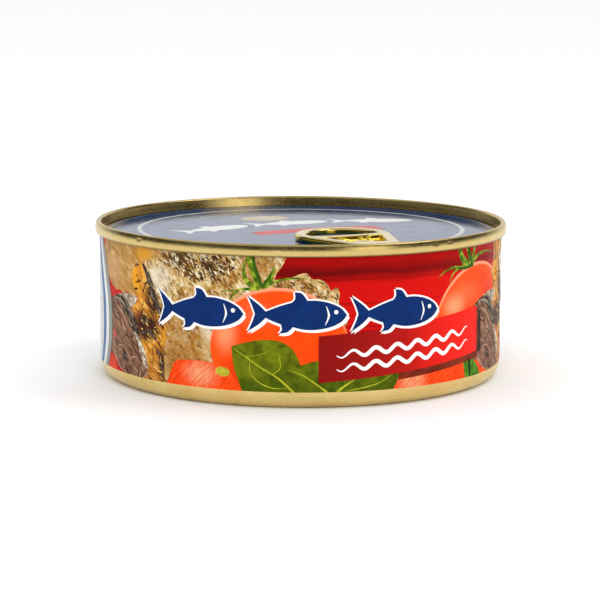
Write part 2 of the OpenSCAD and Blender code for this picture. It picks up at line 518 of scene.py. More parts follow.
def navy_panel():
    """Glossy navy ink over the whole lid"""
    f = Finish("navy_panel")
    here = f.place()
    tint = chosen_colour("navy")
    f.set(colour=f.ramp(f.noise(here, 14, 3), [(0.3, tint), (0.7, tinted(tint, 3, 2.4, 1.15))]),
          rough=f.span(f.noise(here, 5, 4), 0.3, 0.7, 0.09, 0.15), ior=1.5)
    f.bump(f.noise(here, 2.5, 2), 0.006)


# ---- Metal parts ----

# How far the chuck wall leans in, the groove's width and the score line's way in from the groove
CHUCK_LEAN = 0.65
GROOVE_W = 1.25
SCORE_IN = 0.65

# Small dents in the seam: turn from the front, drop below the crest, radius and depth
SEAM_DENTS = ((-48, 1.1, 0.7, 0.16), (-12, 2.3, 0.8, 0.1), (-6, 2.2, 1, 0.12), (5, 2.5, 0.8, 0.12),
              (38, 0.9, 0.9, 0.13), (43, 1, 0.7, 0.1), (128, 1.4, 1.1, 0.12), (-150, 1.9, 0.9, 0.1))

# The pull tab, along x from its ring end to its nose, which stops NOSE_GAP short of the seam's outside
TAB_LEN = 33.9
RING_R = 11.7
NOSE_R = 6.5
BAND_W = 2.7
BAND_H = 1.4
TAB_LIFT = 0.25
HOLE_LEN = 10.3
BRIDGE_W = 2.2
TONGUE_W = 6.6
TONGUE_T = 0.4
HINGE_LEN = 1.6
RIVET_X = TAB_LEN - 10.9
NOSE_X = TAB_LEN - NOSE_R
NOSE_GAP = 4.75


def body_profile(sizes):
    """Half section of the drawn body, from the middle of its base up the wall"""
    corner = sizes.corner_radius / MM
    rim_w, rise = 2.8, 0.9
    bead_in, bead_half, bead_r, bead_drop = 10.6, 1.6, 1.2, 0.5
    foot_out = WALL_R - corner
    foot_in = foot_out - rim_w
    panel_r = foot_in - 1.1
    bead_mid = foot_in - bead_in
    bead_turn = math.degrees(math.asin((bead_r - bead_drop) / bead_r))
    points = [(0, rise), (bead_mid - 6, rise), (bead_mid - bead_half, rise)]
    points += arc((bead_mid, rise - bead_drop + bead_r), bead_r, -180 + bead_turn, -bead_turn, 10)
    points += [(bead_mid + bead_half, rise), (panel_r - 0.7, rise), (panel_r - 0.2, rise - 0.04)]
    points += [(panel_r + 0.12, rise - 0.16), (foot_in - 0.12, 0.12), (foot_in + 0.2, 0)]
    points += [(foot_in + 0.6, 0), (foot_out - 0.6, 0)]
    points += arc((foot_out, corner), corner, -90, 0, 18)
    seat, lid_low = CREST_Z - sizes.seam_height / MM, GROOVE_Z - PLATE_T - 0.1
    points += [(WALL_R, corner + 1), (WALL_R, seat - 1), (WALL_R, seat), (WALL_R - 0.2, seat - 0.01)]
    return points + [(WALL_R - 2.5, lid_low), (0, lid_low)]


def seam_profile(sizes):
    """Section of the double seam with the chuck wall and groove, a closed loop"""
    out, thick, height = SEAM_R, sizes.seam_thickness / MM, sizes.seam_height / MM
    seat = CREST_Z - height
    # The outside is a shallow barrel, from 20 degrees up at the crest to 6 degrees down
    barrel = 3.6
    barrel_z = CREST_Z - 1.65
    up, down = math.radians(20), math.radians(6)
    crest_out = out - barrel + barrel * math.cos(up)
    crest_low = barrel_z + barrel * math.sin(up)
    crest_r = (CREST_Z - crest_low) / (1 - math.sin(up))
    crest = (crest_out - crest_r * math.cos(up), CREST_Z - crest_r)
    low_r = out - barrel + barrel * math.cos(down)
    low_z = barrel_z - barrel * math.sin(down)
    heel = 0.4
    heel_z = seat + heel * (1 - math.sin(down))
    heel_r = low_r - (low_z - heel_z) * math.tan(down)
    points = [(WALL_R - 0.35, seat)]
    points += arc((heel_r - heel * math.cos(down), seat + heel), heel, -90, -6, 8)
    points += arc((out - barrel, barrel_z), barrel, -6, 20, 14)
    points += arc(crest, crest_r, 20, 180, 20)[1:]
    chuck_foot = out - thick - CHUCK_LEAN
    points += [(crest[0] - crest_r - 0.16, CREST_Z - 1.5), (chuck_foot + 0.08, GROOVE_Z + 0.34)]
    points += arc((chuck_foot - 0.22, GROOVE_Z + 0.3), 0.3, 0, -90, 7)[1:]
    points += arc((chuck_foot - 0.68, GROOVE_Z + 0.3), 0.3, -90, -160, 6)
    points += [(chuck_foot - 1.22, PANEL_Z - 0.16), (chuck_foot - 1.4, PANEL_Z - 0.03)]
    points += [(chuck_foot - 1.4, PANEL_Z - PLATE_T), (chuck_foot - 0.9, GROOVE_Z - PLATE_T)]
    points += [(chuck_foot, GROOVE_Z - PLATE_T)]
    return points


def dented(bm, turn, height, radius, depth):
    """Presses a small dent into the outside of the seam, turn in degrees from the front"""
    t = math.radians(turn)
    at = Vector((SEAM_R * math.sin(t), -SEAM_R * math.cos(t), height))
    inward = Vector((-math.sin(t), math.cos(t), 0))
    for v in bm.verts:
        far = (v.co - at).length / radius
        if far < 1:
            v.co += inward * depth * (1 - far * far) ** 2


class FISHTIN_OT_body(bpy.types.Operator):
    """Add the drawn body with its rounded base"""
    bl_idname = "fishtin.body"
    bl_label = "Body"

    def execute(self, context):
        sizes = context.scene.fishtin_sizes
        bm = spun(body_profile(sizes), sizes.round_steps, closed=False)
        piece = finished(bm, "drawn_body", bpy.data.materials["gold_lacquer"], 25)
        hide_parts("can_body")
        return {"FINISHED"}


class FISHTIN_OT_lid(bpy.types.Operator):
    """Add the seam, the panel with its score line, and the rivet"""
    bl_idname = "fishtin.lid"
    bl_label = "Lid"

    def execute(self, context):
        sizes = context.scene.fishtin_sizes
        bm = spun(seam_profile(sizes), sizes.round_steps + 120)
        for turn, height, radius, depth in SEAM_DENTS:
            dented(bm, turn, CREST_Z - height, radius, depth)
        seam = finished(bm, "double_seam", bpy.data.materials["gold_lacquer"], 40)
        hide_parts("lid")

        edge = SEAM_R - sizes.seam_thickness / MM - CHUCK_LEAN - GROOVE_W
        score = edge - SCORE_IN
        profile = [(0, PANEL_Z), (20, PANEL_Z), (score - 0.4, PANEL_Z), (score - 0.15, PANEL_Z - 0.005)]
        profile += [(score, PANEL_Z - 0.12), (score + 0.15, PANEL_Z - 0.005), (edge - 0.1, PANEL_Z)]
        profile += [(edge + 0.08, PANEL_Z - 0.05), (edge + 0.12, PANEL_Z - PLATE_T), (0, PANEL_Z - PLATE_T)]
        bm = spun(profile, sizes.round_steps, closed=False)
        panel = finished(bm, "lid_panel", bpy.data.materials["navy_panel"], 40)
        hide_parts("lid")

        bm = spun(rivet_profile(), 72, closed=False)
        at = tab_matrix(sizes) @ Vector((RIVET_X, 0, 0))
        bmesh.ops.translate(bm, vec=(at.x, at.y, PANEL_Z), verts=bm.verts)
        rivet = finished(bm, "rivet", bpy.data.materials["yellow_lacquer"], 40)
        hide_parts("lid")
        return {"FINISHED"}


def tab_matrix(sizes):
    """The tab's place on the lid's panel"""
    turn = Matrix.Rotation(sizes.tab_turn - math.pi / 2, 4, "Z")
    return turn @ Matrix.Translation((SEAM_R - NOSE_GAP - TAB_LEN, 0, PANEL_Z))


def rivet_profile():
    """Half section of the rivet that is formed from the lid"""
    head_r, head_h, edge = 2.7, 0.55, 0.2
    top = TONGUE_T + head_h
    points = [(0, -0.1), (1.7, -0.1), (1.7, TONGUE_T), (head_r - 0.12, TONGUE_T)]
    points += arc((head_r - edge, top - edge), edge, -20, 90, 8)
    points += [(1.55, top), (1.3, top - 0.02), (1.05, top - 0.12), (0.6, top - 0.15), (0, top - 0.15)]
    return points


def band_section():
    """Section of the curled band, seen along the tab: rounded above, with steep sides below"""
    top, foot = TAB_LIFT + BAND_H, TAB_LIFT - 0.17
    mid_x, mid_z = BAND_W / 2, 0.5 * (top + foot)
    points = []
    for i in range(28):
        t = 2 * math.pi * i / 28
        c, s = math.cos(t), math.sin(t)
        x = mid_x + BAND_W / 2 * math.copysign(abs(c) ** (0.75 if s > 0 else 0.35), c)
        z = mid_z + (top - foot) / 2 * math.copysign(abs(s) ** (0.8 if s > 0 else 0.4), s)
        points.append((x, z))
    return points


def swept(bm, centre_x, out_r, start, sweep, steps):
    """Sweeps the band's section about a centre and returns its first and last loops of edges"""
    c, s = math.cos(start), math.sin(start)
    ring = []
    for x, z in band_section():
        r = out_r - BAND_W + x
        ring.append(bm.verts.new((centre_x + r * c, r * s, z)))
    edges = [bm.edges.new((ring[i - 1], ring[i])) for i in range(len(ring))]
    made = bmesh.ops.spin(bm, geom=ring + edges, cent=(centre_x, 0, 0), axis=(0, 0, 1),
                          angle=sweep, steps=steps, use_duplicate=False)
    return edges, [g for g in made["geom_last"] if isinstance(g, bmesh.types.BMEdge)]


def tab_band():
    """The curled band: round the ring and the nose, with straight flanks between them"""
    bm = bmesh.new()
    flank = math.acos((RING_R - NOSE_R) / (NOSE_X - RING_R))
    ring_first, ring_last = swept(bm, RING_R, RING_R, flank, 2 * math.pi - 2 * flank, 64)
    nose_first, nose_last = swept(bm, NOSE_X, NOSE_R, -flank, 2 * flank, 32)
    bmesh.ops.bridge_loops(bm, edges=ring_last + nose_first)
    bmesh.ops.bridge_loops(bm, edges=nose_last + ring_first)
    bmesh.ops.recalc_face_normals(bm, faces=bm.faces)
    return bm


def tab_web():
    """Pressed web that falls from the bridge to the rivet, with a fold on each side"""
    high, drop, thick = 1.3, 0.98, 0.25
    start_x, fall_x, fall_w, rest_w = 14.9, 15.2, 0.6, 6
    # The shares of the web's length where its fall starts and ends
    lip, foot = 0.1, 0.6
    folds = ((-1.9, 1.3), (3, 0.6), (5, 0.6))
    bm = bmesh.new()
    bmesh.ops.create_grid(bm, x_segments=40, y_segments=48, size=1)
    for v in bm.verts:
        along = (v.co.x + 1) / 2
        fall = min(max((along - lip) / (foot - lip), 0), 1)
        if along < lip:
            x = start_x + (fall_x - start_x) * along / lip
        else:
            x = fall_x + fall_w * fall + rest_w * max(along - foot, 0) / (1 - foot)
        y = 8.5 * v.co.y * (1 - 0.042 * (x - 15))
        for side, wide in folds:
            x += 0.3 * fall * math.exp(-((y - side) / wide) ** 2)
        v.co = (x, y, high - drop * fall * fall * (3 - 2 * fall))
    bmesh.ops.recalc_face_normals(bm, faces=bm.faces)
    bmesh.ops.solidify(bm, geom=bm.faces[:], thickness=thick)
    bmesh.ops.recalc_face_normals(bm, faces=bm.faces)
    return bm


def tab_plate(points, thick, low, hole=None, edge=0.12):
    """A stamped plate of one outline with rounded edges"""
    bm = bmesh.new()
    edges = loop_of(bm, points)
    if hole:
        edges += loop_of(bm, hole)
    fill(bm, edges)
    slab(bm, low, low + thick)
    bmesh.ops.recalc_face_normals(bm, faces=bm.faces)
    rims = [e for e in bm.edges if len(e.link_faces) == 2 and e.calc_face_angle() > 0.8
            and abs(e.verts[0].co.z - e.verts[1].co.z) < 1e-6]
    bmesh.ops.bevel(bm, geom=rims, offset=edge, segments=3, affect="EDGES", profile=0.5, material=-1,
                    clamp_overlap=True)
    return bm


class FISHTIN_OT_tab(bpy.types.Operator):
    """Add the curled pull tab with its bridge, nose and tongue"""
    bl_idname = "fishtin.tab"
    bl_label = "Pull tab"

    def execute(self, context):
        sizes = context.scene.fishtin_sizes
        metal = bpy.data.materials["yellow_lacquer"]
        bridge_x = BAND_W + HOLE_LEN
        back_x, hole_mid = bridge_x + BRIDGE_W, bridge_x - 1.6
        top = TAB_LIFT + BAND_H - 0.22
        half = RING_R - BAND_W / 2
        x, y = back_x - 0.4, half - 0.6
        bridge = joined(
            arc((hole_mid, 0), 2.4, -78, 78, 20, half - 0.3), [(hole_mid + 0.4, half - 0.2), (x, y)],
            [(x, y), (back_x + 0.3, 4), (back_x + 0.5, 0), (back_x + 0.3, -4), (x, -y)],
            [(x, -y), (hole_mid + 0.4, 0.2 - half)])
        nose = arc((NOSE_X, 0), NOSE_R - 0.9, -90, 90, 24)
        tongue = arc((RIVET_X, 0), TONGUE_W / 2, 90, 270, 24)
        tongue += [(NOSE_X + HINGE_LEN, -TONGUE_W / 2), (NOSE_X + HINGE_LEN, TONGUE_W / 2)]
        hinge = [(NOSE_X, -3.3), (NOSE_X + HINGE_LEN, -3.3), (NOSE_X + HINGE_LEN, 3.3), (NOSE_X, 3.3)]
        plates = (
            ("tab_band", tab_band()),
            ("tab_bridge", tab_plate(bridge, 0.36, top - 0.36, edge=0.14)),
            ("tab_nose", tab_plate(nose, 0.9, top - 0.9, edge=0.2)),
            ("tab_tongue", tab_plate(tongue, TONGUE_T, 0, oval((RIVET_X, 0), 1.75, 1.75, 40), 0.1)),
            ("tab_web", tab_web()),
            ("tab_hinge", tab_plate(hinge, 0.9, 0.1, edge=0.15)),
        )
        for name, bm in plates:
            bmesh.ops.transform(bm, matrix=tab_matrix(sizes), verts=bm.verts)
            piece = finished(bm, name, metal, 40)
            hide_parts("pull_tab")
        return {"FINISHED"}


# ---- The picture on the wall ----

def board_red(f):
    """Painted boards: dark and light bands, thin gaps, brighter towards the right"""
    red = chosen_colour("red")
    across, up = (f.axis(name, f.place(True)) for name in "XY")
    level = f.sums("ADD", up, f.times(f.grain(2, 0, (0.2, 1)), 3))
    shades = ((0, 0.85, 1, 1), (0.4, 0.92, 1, 1), (0.66, 0.97, 1.1, 1), (0.88, 0.95, 1, 1),
              (0.95, 0.24, 0.15, 0.2), (1, 0.75, 0.8, 0.8))
    bands = f.ramp(f.span(level, 4, 38), [(at, tinted(red, *parts)) for at, *parts in shades])
    for gap in (19.2, 24.6, 30.2):
        line = f.sums("ABSOLUTE", f.sums("SUBTRACT", up, gap))
        bands = f.mix(f.span(line, 0.05, 0.34, 0.5, 0), bands, tinted(red, 0.2, 0, 0))
    bright = f.times(f.span(across, 0, 54), f.span(up, 31.5, 28.5, 0.12, 0.78))
    return f.mix(bright, bands, (0.68, 0.006, 0.003))


def skin_colour(f):
    """Grilled fish skin: cream and gold patches, brown cracks, darker along its top"""
    patch = f.grain(4.6, -46, (0.75, 1.5), 8, 0.68, 0.5)
    thread = f.grain(1, -50, (0.45, 1.8), 6, 0.72, 0.7)
    cross = f.grain(1.5, 35, (0.6, 1.7), 6, 0.7, 1)
    mottle = f.grain(1.25, -50, (0.7, 1.3), 7, 0.78, 0.6)
    tone = f.ramp(patch, [
        (0.32, (0.1, 0.04, 0.008)), (0.41, (0.31, 0.135, 0.022)), (0.48, (0.52, 0.3, 0.075)),
        (0.56, (0.66, 0.48, 0.2)), (0.67, (0.86, 0.78, 0.54))])
    tone = f.mix(f.span(mottle, 0.5, 0.38, 0, 0.7), tone, (0.4, 0.29, 0.18), "MULTIPLY")
    tone = f.mix(f.span(mottle, 0.52, 0.63, 0, 0.8), tone, (0.9, 0.83, 0.64))
    gold = f.spots(((-31, 12), (14, 12), 0.6), ((-10, 33), (5, 5), 0.8))
    tone = f.mix(f.times(gold, 0.68), tone, (0.38, 0.165, 0.024))
    pale = f.spots(((-36, 28.6), (5.5, 5), 0.8), ((-21.6, 19.6), (3.6, 7), 0.8))
    tone = f.mix(f.times(pale, 0.6), tone, (0.82, 0.76, 0.6))
    char = f.spots(((-29, 33.6), (6.5, 3.4), 0.9), ((-21, 32.6), (6, 3.8), 0.9),
                   ((-37.6, 23.4), (2.6, 10), 0.8, 32))
    burn = f.span(f.sums("ADD", thread, f.times(char, 0.15)), 0.54, 0.64, 0, 0.9)
    tone = f.mix(burn, tone, (0.075, 0.032, 0.01))
    tone = f.mix(f.span(cross, 0.56, 0.68, 0, 0.75), tone, (0.14, 0.06, 0.015))
    return f.mix(f.span(cross, 0.4, 0.3, 0, 0.8), tone, (0.88, 0.82, 0.66))


def flesh_colour(f):
    """Smooth tan flesh with soft pale strokes"""
    tone = f.ramp(f.grain(2.2, -28, (0.5, 1.8), 6, 0.6, 0.5), [
        (0.3, (0.26, 0.11, 0.022)), (0.44, (0.43, 0.215, 0.05)), (0.58, (0.52, 0.295, 0.09)),
        (0.74, (0.78, 0.56, 0.28))])
    return f.dabs(tone, (0.8, (0.68, 0.3, 0.015), (-41.5, 34), (4.5, 3), 0.7),
                  (0.45, (0.62, 0.36, 0.19), (-57, 29), (9, 5), 0.8),
                  (0.8, (0.28, 0.13, 0.06), (-59.2, 33.2), (1.4, 1.5), 0.8))


def crust_colour(f):
    """Golden and burnt edge of the cut fish"""
    grain = f.grain(1.7, -38, (0.6, 1.8), 7, 0.7, 0.8)
    tone = f.ramp(grain, [(0.3, (0.1, 0.028, 0.006)), (0.42, (0.42, 0.15, 0.016)),
                          (0.52, (0.72, 0.29, 0.022)), (0.64, (0.86, 0.52, 0.12))])
    tone = f.dabs(tone, (0.75, (0.8, 0.33, 0.008), (-44.6, 27.4), (2.4, 3.6), 0.7),
                  (0.8, (0.24, 0.04, 0.012), (-43.4, 17.4), (4.4, 5), 0.7),
                  (0.5, (0.3, 0.1, 0.014), (-38, 7), (5, 7), 0.7))
    dark = f.spots(((-40.4, 16.6), (6.8, 4.8), 0.6), ((-35.4, 8), (1.9, 7), 0.8),
                   ((-38.8, 22.6), (2.4, 6.4), 0.7, 22))
    return f.mix(f.times(dark, f.span(grain, 0.66, 0.48, 0.55, 1)), tone, (0.042, 0.012, 0.006))


def chunk_colour(f):
    """Brown cooked fish with soft folds and a dark hollow"""
    tone = f.ramp(f.grain(2.4, -40, (0.5, 1.7), 7, 0.66, 1.6), [
        (0.32, (0.03, 0.012, 0.009)), (0.43, (0.11, 0.042, 0.022)), (0.54, (0.235, 0.105, 0.058)),
        (0.68, (0.5, 0.29, 0.18))])
    return f.dabs(tone, (0.85, (0.03, 0.016, 0.014), (-50, 8.2), (2.4, 1.7), 0.8),
                  (0.85, (0.62, 0.1, 0.07), (-55.8, 12.8), (1.9, 1.7), 0.8))


def silver_colour(f):
    """Bright and grey lengths of fish skin"""
    tone = f.ramp(f.grain(1, -55, (0.6, 1.6), 6, 0.75, 0.8), [
        (0.38, (0.05, 0.032, 0.02)), (0.48, (0.3, 0.22, 0.14)), (0.58, (0.8, 0.74, 0.6))])
    return f.dabs(tone, (0.6, (0.24, 0.15, 0.085), (-51, 20.6), (6.5, 4), 0.6))


def dark_skin_colour(f):
    """Black and slate lengths of fish skin"""
    return f.ramp(f.grain(1, -50, (0.4, 2.2), 5, 0.65, 0.6), [
        (0.38, (0.007, 0.004, 0.003)), (0.52, (0.05, 0.03, 0.018)), (0.64, (0.36, 0.29, 0.2))])


def tomato_colour(centre, half, glow, shade):
    """A round ripe fruit: glowing on one side, darker on another, with a pale upper rim. Glow is
    rows of strength, centre and half sizes, shade is rows of centre and half sizes"""
    def colour_of(f):
        ripe = chosen_colour("tomato")
        tone = f.ramp(f.grain(6, detail=2), [(0.3, ripe), (0.7, tinted(ripe, 1, 1.6, 1))])
        deep = tinted(ripe, 0.62, 0.45, 1)
        tone = f.dabs(tone, *((0.8, deep, *place, 0.9) for place in shade))
        edge = f.sums("SUBTRACT", 1, f.spot(centre, half, 0.34))
        tone = f.mix(f.times(edge, 0.7), tone, (ripe[0] * 0.92, ripe[1] * 1.8, 0.006))
        tone = f.dabs(tone, *((strength, (0.95, 0.33, 0.15), *place) for strength, *place in glow))
        inner = f.spot((centre[0] + 0.1, centre[1] - 0.5), half, 0.03)
        up = f.span(f.axis("Y", f.place(True)), centre[1], centre[1] + half[1] * 0.6)
        rim = f.times(f.sums("SUBTRACT", 1, inner), up)
        return f.mix(f.times(rim, 0.6), tone, (1, 0.46, 0.27))
    return colour_of


def wedge_colour(pale_at, pale_size, turn):
    """A cut wedge: orange-red with pale streaks"""
    def colour_of(f):
        streak = f.grain(1, turn, (0.3, 3), 4, 0.6, 0.3)
        tone = f.ramp(streak, [(0.3, (0.62, 0.024, 0.003)), (0.55, (0.88, 0.064, 0.003)),
                               (0.72, (0.95, 0.14, 0.02))])
        pale = f.times(f.spot(pale_at, pale_size, 0.9), f.span(streak, 0.36, 0.6, 0.35, 1))
        return f.mix(f.times(pale, 0.9), tone, (0.8, 0.38, 0.19))
    return colour_of


def leaf_colour(f):
    """Basil green with soft lighter patches, darker at its foot"""
    leaf = chosen_colour("leaf")
    tone = f.ramp(f.grain(1.8), [(0.34, tinted(leaf, 0.5, 0.52, 0.5)), (0.5, leaf),
                                 (0.68, tinted(leaf, 1.5, 1.4, 1.3))])
    tone = f.mix(f.span(f.grain(5, detail=2), 0.42, 0.62, 0, 0.5), tone, (0.2, 0.235, 0.006))
    low = f.span(f.axis("Y", f.place(True)), 10, 5, 0, 0.45)
    return f.mix(low, tone, (0.025, 0.06, 0.001))


def fresh_leaf_colour(f):
    """Brighter green of the small leaf under the banner"""
    return f.ramp(f.grain(1.4, 80, (0.6, 1.6), 4, 0.6), [
        (0.28, (0.01, 0.045, 0.003)), (0.5, (0.05, 0.18, 0.006)), (0.7, (0.17, 0.38, 0.02))])


def stem_colour(f):
    """Green of the tomatoes' stems, yellow in places"""
    return f.ramp(f.grain(1.6, detail=2), [
        (0.34, (0.028, 0.085, 0.003)), (0.5, (0.12, 0.2, 0.008)), (0.66, (0.38, 0.45, 0.04))])


def banner_colour(f):
    """Red of the banner, brighter to the right"""
    return f.ramp(f.span(f.axis("X", f.place(True)), 2, 52), [
        (0, (0.225, 0.005, 0.004)), (0.45, (0.4, 0.008, 0.006)),
        (0.62, (0.6, 0.01, 0.006)), (1, (0.86, 0.016, 0.009))])


def sardine():
    """Outline of a plain slender fish 22 mm long, its nose to the right"""
    return outline(
        [(11, -0.1), (9.6, 1), (7.2, 1.8), (4.4, 2.2), (2.2, 2.2)], [(1, 3.3), (-0.6, 3.5)],
        [(-0.5, 2.5), (-1.2, 1.9)], [(-4, 1.3), (-7, 0.45)], [(-8.6, 1.5), (-11, 2.7)],
        [(-10, 1.2), (-9.4, 0)], [(-10, -1.2), (-11, -2.7)], [(-8.6, -1.6), (-7, -0.55)],
        [(-5.2, -1.1), (-3.6, -1.5)], [(-3.4, -2.3), (-4, -2.9)], [(-2.2, -2.7), (-1, -1.9)],
        [(1.6, -2.3), (4.4, -2.3), (7.4, -1.9), (9.8, -1.1)])


# Outlines of the picture, x round the wall from the front and y up from the table, in mm. They run
# past the print's lower and upper edges, which cut them off. Each round fruit is a centre and its
# half sizes
BOARDS = [(PICTURE_START, 3), (66, 3), (66, 37), (PICTURE_START, 37)]
BOARDS_AGAIN = [(-40.5, 3), (66, 3), (66, 37), (-40.5, 37)]
FISH_BODY = outline(
    [(-42.4, 31.8), (-39.6, 32.8), (-36.6, 33.6), (-34.6, 36)], [(-3, 36)],
    [(-4.2, 33.4), (-5.6, 31.4), (-6.2, 29.2), (-9, 26), (-12, 18), (-16, 10), (-20, 3)], [(-35.2, 3)],
    [(-34.6, 8), (-34.8, 12), (-34, 15), (-34.4, 18.4), (-36.6, 21), (-38.4, 24), (-39.6, 27),
     (-40.6, 29.2)])
FISH_TOP = outline(
    [(-34, 35.4), (-13.6, 35.4)], [(-15.6, 31), (-19.4, 28.6), (-26, 28.4), (-31, 30.6)])
FISH_FLESH = joined(
    [(-71, 36), (-34, 36)],
    [(-34, 36), (-36.6, 33.8), (-40, 32.8), (-42.4, 31.8)],
    [(-42.4, 31.8), (-44.6, 28), (-44.2, 24), (-46, 22.6)],
    [(-46, 22.6), (-48.5, 23.9), (-50.6, 23.5), (-52.6, 24), (-54.4, 23.8), (-56.6, 24.6), (-59.6, 26.2),
     (-63, 29), (-71, 31)],
)
FLESH_AGAIN = outline(
    [(-34, 36), (-36.6, 33.8), (-40, 32.8), (-42.4, 31.8)], [(-44.6, 28), (-44.2, 24), (-45, 22.2)],
    [(-46, 23.4), (-46.4, 25.6), (-47.6, 27.6), (-47, 29.8), (-44.4, 31), (-42, 32.4), (-38.6, 36)], [])
FISH_CRUST = outline(
    [(-42.6, 31.6), (-45, 30.9), (-46.4, 28.4), (-45.9, 26.2), (-45, 24.5), (-44, 22.6), (-46.4, 20.4),
     (-46.2, 18.8), (-45, 17), (-43.6, 15.2), (-41.6, 12.4), (-40.8, 9.6), (-39.9, 7), (-41.2, 5),
     (-42.6, 3)], [(-34.6, 3)],
    [(-34.5, 8), (-34.7, 12), (-33.8, 15), (-34.2, 18.4), (-36.4, 21), (-38.2, 24), (-39.4, 27),
     (-40.4, 29.2)])
FISH_EDGE = strokes(
    ((0.4, 1.3, 1.7, 1.9, 1.5, 0.3), (-41.9, 31.5), (-40.3, 29.2), (-39.2, 27), (-38, 24), (-36.2, 21),
     (-34.8, 18.6)),
    ((0.1, 0.5, 0.1), (-45, 30.6), (-44.2, 31.1), (-43.2, 31.2)),
    ((0.2, 1.7, 0.3), (-42.8, 18.4), (-41.2, 17.8), (-39.8, 18.2)),
    ((0.1, 0.7, 1.3, 0.3), (-43.4, 15), (-41.2, 15.2), (-39, 15.4), (-37.2, 13.6)),
    ((0.2, 0.6, 0.8, 0.3), (-37.4, 12.4), (-36, 10.4), (-35.3, 7), (-35.5, 4.6)),
    ((0.1, 0.35, 0.1), (-36.2, 33.2), (-34.8, 32.6), (-34, 31.9)))
BROWN_CHUNK = outline(
    [(-57.8, 20.6), (-54.2, 21.8), (-51, 21.4), (-47.6, 18.6), (-45, 15.6), (-43, 11.4), (-41.2, 8),
     (-40.2, 5.8), (-40.4, 3)], [(-48.6, 3)], [(-51, 4.6), (-53.6, 5.6), (-55.6, 7.4), (-60, 8.4)],
    [(-60.4, 14)])
CHUNK_STROKES = strokes(
    ((0.1, 0.5, 0.45, 0.1), (-52.6, 6.9), (-50.4, 5.9), (-48.2, 4.9), (-45.4, 4.4)),
    ((0.3, 1.1, 0.2), (-51.4, 7.9), (-49.8, 8.5), (-48.6, 7.4)),
    ((0.1, 0.4, 0.1), (-50.6, 12.4), (-49.2, 13.4), (-47.6, 13)),
    ((0.1, 0.3, 0.1), (-55.2, 13.6), (-54, 13.9), (-52.8, 13.2)))
CHUNK_LIGHTS = strokes(
    ((0.1, 0.7, 0.6, 0.1), (-54.6, 20), (-52, 19.2), (-49.8, 17.4), (-48.4, 15)),
    ((0.1, 0.4, 0.4, 0.1), (-48.4, 6.2), (-46.8, 8.2), (-44.8, 8.6), (-43.4, 7)),
    ((0.1, 0.5, 0.1), (-54.4, 9.4), (-52.6, 10.6), (-50.4, 10.4)),
    ((0.1, 0.5, 0.4, 0.1), (-56.4, 8), (-54.4, 6.8), (-52.2, 5.2), (-49, 4.2)),
    ((0.2, 0.7, 0.2), (-40, 6.2), (-40.8, 5), (-42, 4.2)))
BROWN_SKIN = stroke(
    [(-58, 20.7), (-55, 21.9), (-51.8, 21.8), (-48.8, 20), (-46.2, 17.4), (-44.4, 14.2), (-43, 11.4),
     (-41.4, 8.6)], (0.4, 1, 1.9, 3, 3, 2, 1.2, 0.3))
SILVER_SKIN = strokes(
    ((0.1, 0.45, 0.5, 0.1), (-56.2, 21.3), (-53.6, 21.9), (-51, 21.3), (-49.2, 19.9)),
    ((0.1, 0.45, 0.1), (-49.2, 21.3), (-47.4, 20.2), (-46, 18.8)),
    ((0.3, 1.2, 2, 1.4, 0.2), (-45.6, 14.8), (-43.9, 13.2), (-42.3, 10.6), (-41, 7.6), (-40.2, 6.6)))
SMOKED_TOP = outline(
    [(-56.4, 21.9), (-53.6, 22.7), (-50.6, 23.5), (-47, 23.6), (-43.8, 23.1)],
    [(-45, 21.8), (-46.4, 20.6), (-48.6, 20.9), (-51.4, 22.2)])
RED_CORNER = [(-67, 37), (-67, 30.6), (-64.2, 31), (-63.2, 33.2), (-62.6, 35.4), (-62.5, 37)]
RED_PATCH = outline(
    [(-63, 3), (-63, 8.4), (-60, 8), (-56.2, 7.2), (-54.6, 5.8), (-53.2, 3)], [])
FISH_TAIL = outline(
    [(-8.4, 27.6), (-5.6, 30), (-2.6, 30.6), (-0.4, 31.5), (1.4, 31.8), (2.6, 30.5), (4.6, 30.3),
     (6.4, 29)], [(7, 27.8), (8.2, 28.5), (9, 27.2), (8.8, 24.6), (9.6, 22.6), (10.9, 21), (10.6, 19.6)],
    [(7, 21), (2, 24)])
TOMATO_1 = ((-5, 14.2), (16.4, 14.2))
TOMATO_2 = ((50.4, 16.7), (16.4, 14.8))
SLICE = outline(
    [(-34.2, 3), (-32.2, 7.6), (-30.9, 9.7), (-28.4, 10.2), (-24, 10.4), (-21, 10.2), (-18, 9.3),
     (-15.6, 7.2), (-13.8, 3)], [])
WEDGE = outline(
    [(21.6, 3), (23.4, 6.2), (25.4, 10)], [(45, 12)], [(44.6, 8), (45.4, 3)], [])
LEAF_BIG = outline(
    [(-16.1, 14.4), (-12.6, 15.5), (-9, 16.2), (-5.4, 16.1), (-2.6, 14.9), (-0.8, 12.6), (0.2, 9.8),
     (0.6, 6), (1, 3)], [(-13.2, 3)], [(-14.4, 6.4), (-15.6, 10)])
LEAF_MID = outline(
    [(-1.8, 9.8), (0.6, 10.6), (4.2, 11.5), (8.6, 10.6), (12, 8.4)], [(8.4, 6), (6.6, 3)], [(-0.6, 3)],
    [(-1, 6.2)])
LEAF_LOW = outline(
    [(8, 3), (9.4, 5.4), (12, 7.4), (17.4, 8.9), (24.4, 8.4)], [(23, 5.4), (21.6, 3)], [])
LEAF_SMALL = outline(
    [(43.8, 11.6), (44.2, 8), (45.3, 3)], [(52.4, 3)], [(51, 5.8), (49.2, 7.6), (47.6, 9.8)])
LEAF_SHADE = stroke([(46.8, 10.4), (46.9, 8), (47, 4)], (0.4, 1, 0.5))
